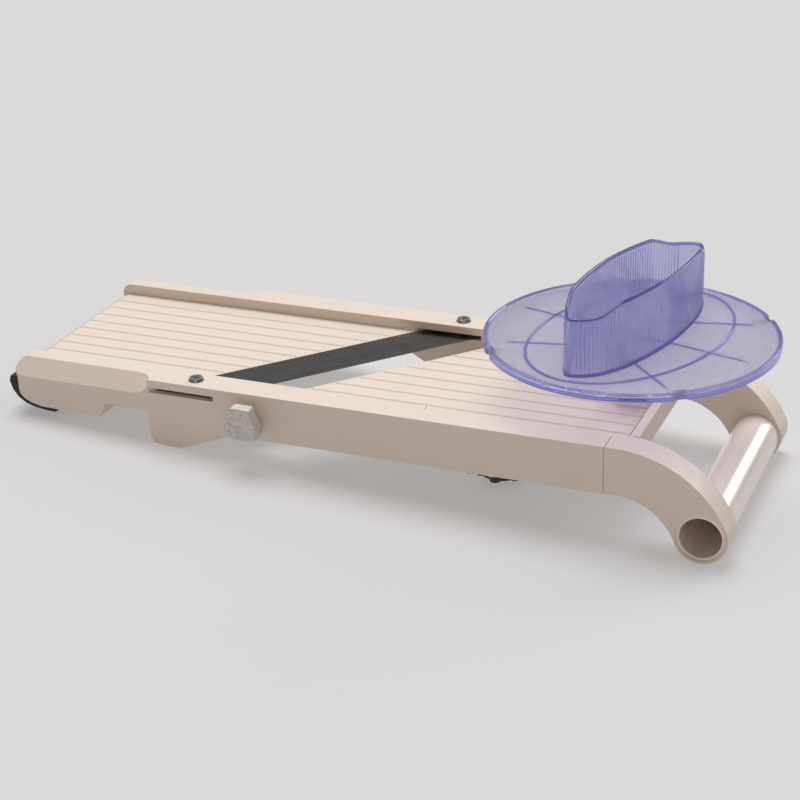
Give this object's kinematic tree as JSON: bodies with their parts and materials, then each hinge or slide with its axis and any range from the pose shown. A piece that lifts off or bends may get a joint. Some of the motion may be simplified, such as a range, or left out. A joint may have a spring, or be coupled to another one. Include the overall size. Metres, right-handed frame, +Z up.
{
  "type": "mandoline slicer",
  "caption": "Flat board slicer with a slanted fixed blade, a height-adjustable feed bed, a tube handle and a sliding hand guard with a hollow grip.",
  "frame": {"origin": "middle of the outline in plan, on the table the slicer leans on", "axes": "+X along the board towards the tube handle, +Y from the side with the clamp knob to the other side, +Z up"},
  "size_m": [0.373, 0.144, 0.1106],
  "materials": {
    "frame_plastic": "satin moulded",
    "tube_plastic": "glossy",
    "black_rubber": "matt",
    "blade_steel": "ground",
    "zinc_steel": "zinc plated",
    "cast_metal": "rough cast",
    "brass": "turned",
    "dark_plastic": "moulded",
    "guard_plastic": "frosted translucent"
  },
  "bodies": {
    "board": {"body_frame": "frame_plastic", "handle_frame": "frame_plastic", "handle_tube": "tube_plastic", "nose_pad": "black_rubber", "slicing_blade": "blade_steel", "blade_screws": "zinc_steel", "blade_nuts": "zinc_steel", "handle_joint_screws": "zinc_steel", "bed_bridge": "frame_plastic", "bridge_screws": "zinc_steel", "thickness_inserts": "brass", "side_screw_insert": "brass"},
    "feed_bed": {"feed_bed": "frame_plastic", "bed_guide_pins": "zinc_steel", "screw_clips": "zinc_steel"},
    "near_thickness_screw": {"thickness_screw_near": "zinc_steel", "thickness_knob_near": "dark_plastic"},
    "far_thickness_screw": {"thickness_screw_far": "zinc_steel", "thickness_knob_far": "dark_plastic"},
    "clamp_shoe": {"clamp_shoe": "dark_plastic"},
    "side_screw": {"side_screw_shank": "zinc_steel", "side_knob": "cast_metal"},
    "hand_guard": {"hand_guard": "guard_plastic", "guard_pin_carrier": "guard_plastic", "guard_food_pins": "zinc_steel", "carrier_screws": "zinc_steel"}
  },
  "joints": [
    {"name": "thickness_adjust", "type": "slide", "parent": "board", "child": "feed_bed", "axis": [-0.0622, 0, 0.9981], "range_m": [-0.0032, 0.0015]},
    {"name": "near_screw_turn", "type": "hinge", "parent": "feed_bed", "child": "near_thickness_screw", "pos_m": [0.06492, -0.02598, 0.02417], "axis": [-0.0622, 0, 0.9981], "range_deg": [-1441, 676]},
    {"name": "far_screw_turn", "type": "hinge", "parent": "feed_bed", "child": "far_thickness_screw", "pos_m": [0.06492, 0.03012, 0.02417], "axis": [-0.0622, 0, 0.9981], "range_deg": [-1441, 676]},
    {"name": "side_screw_travel", "type": "slide", "parent": "board", "child": "clamp_shoe", "axis": [0, -1, 0], "range_m": [0, 0.004]},
    {"name": "side_knob_turn", "type": "hinge", "parent": "clamp_shoe", "child": "side_screw", "pos_m": [-0.05138, -0.06198, 0.02543], "axis": [0, -1, 0], "range_deg": [-1, 1801]},
    {"name": "guard_stroke", "type": "slide", "parent": "board", "child": "hand_guard", "axis": [0.9981, 0, 0.0622], "range_m": [-0.19, 0]}
  ],
  "couplings": [
    {"joint": "near_screw_turn", "follows": "thickness_adjust", "rad_per_m": 7854},
    {"joint": "far_screw_turn", "follows": "thickness_adjust", "rad_per_m": 7854},
    {"joint": "side_knob_turn", "follows": "side_screw_travel", "rad_per_m": 7854}
  ]
}
